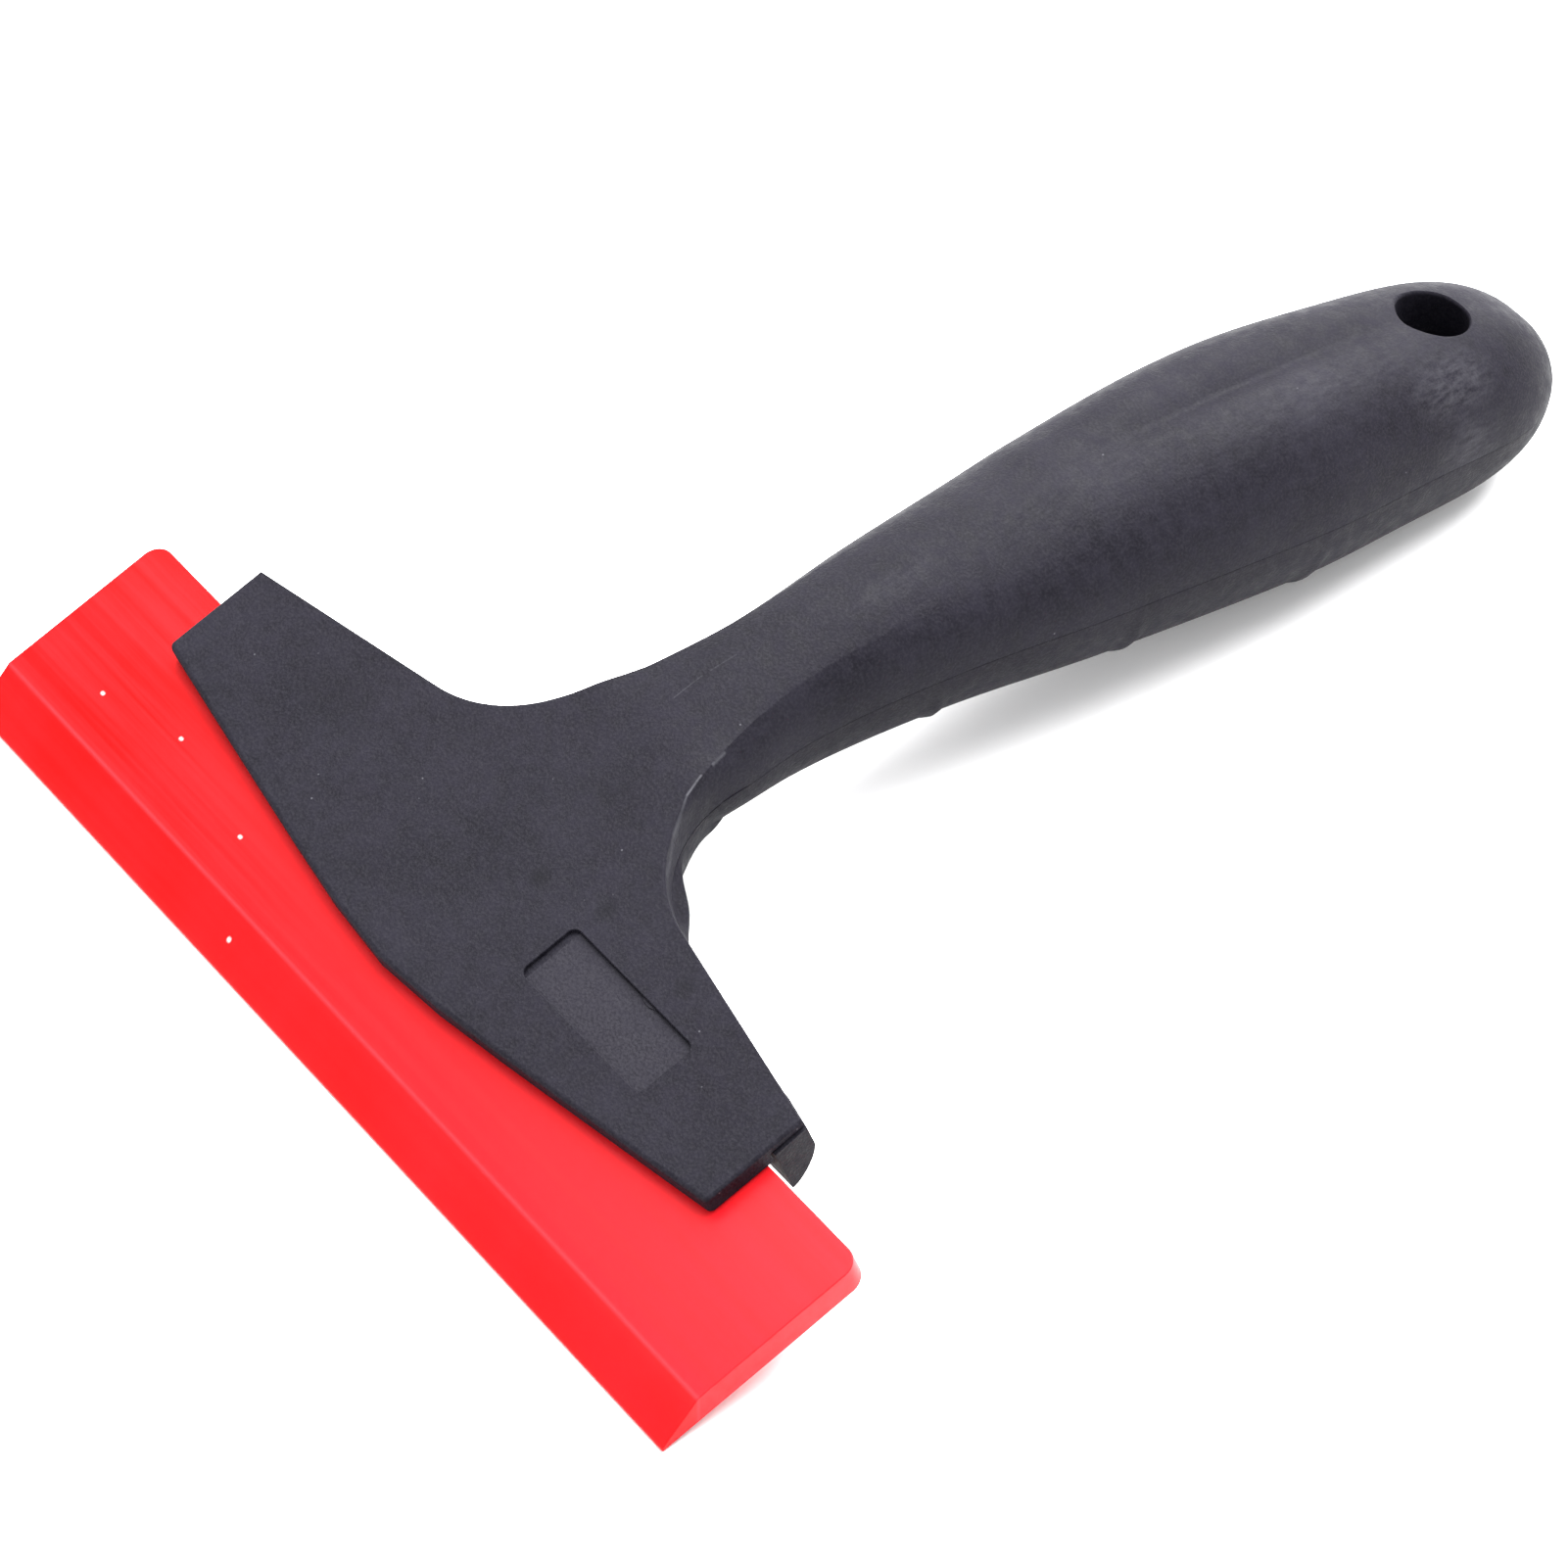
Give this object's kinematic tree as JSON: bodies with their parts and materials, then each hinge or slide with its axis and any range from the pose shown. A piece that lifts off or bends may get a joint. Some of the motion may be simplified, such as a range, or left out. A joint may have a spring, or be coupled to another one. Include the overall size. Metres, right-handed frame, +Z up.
{
  "type": "squeegee applicator",
  "caption": "T-shaped hand squeegee applicator: a wide beveled polymer blade held in the slot of a two-shell head with a rounded grip that ends in a hanging hole.",
  "frame": {"origin": "centre of the bounding box at table level: the tool lies on its working edge and on the belly of its grip", "axes": "+X along the blade, +Y from the blade's working edge to the end of the grip, +Z up out of the head's front face"},
  "size_m": [0.127, 0.1661, 0.0284],
  "materials": {
    "shell_plastic": "matte, fine moulded grain",
    "blade_polymer": "smooth cast polyurethane, satin, slightly translucent",
    "screw_steel": "zinc plated"
  },
  "bodies": {
    "handle": {"front_shell": "shell_plastic", "rear_shell": "shell_plastic", "head_screw_left": "screw_steel", "head_screw_right": "screw_steel", "neck_screw": "screw_steel", "grip_screw": "screw_steel"},
    "blade": {"blade": "blade_polymer"}
  },
  "joints": [
    {"name": "blade_slide", "type": "slide", "parent": "handle", "child": "blade", "axis": [1, 0, 0], "range_m": [-0.11, 0.11]}
  ]
}
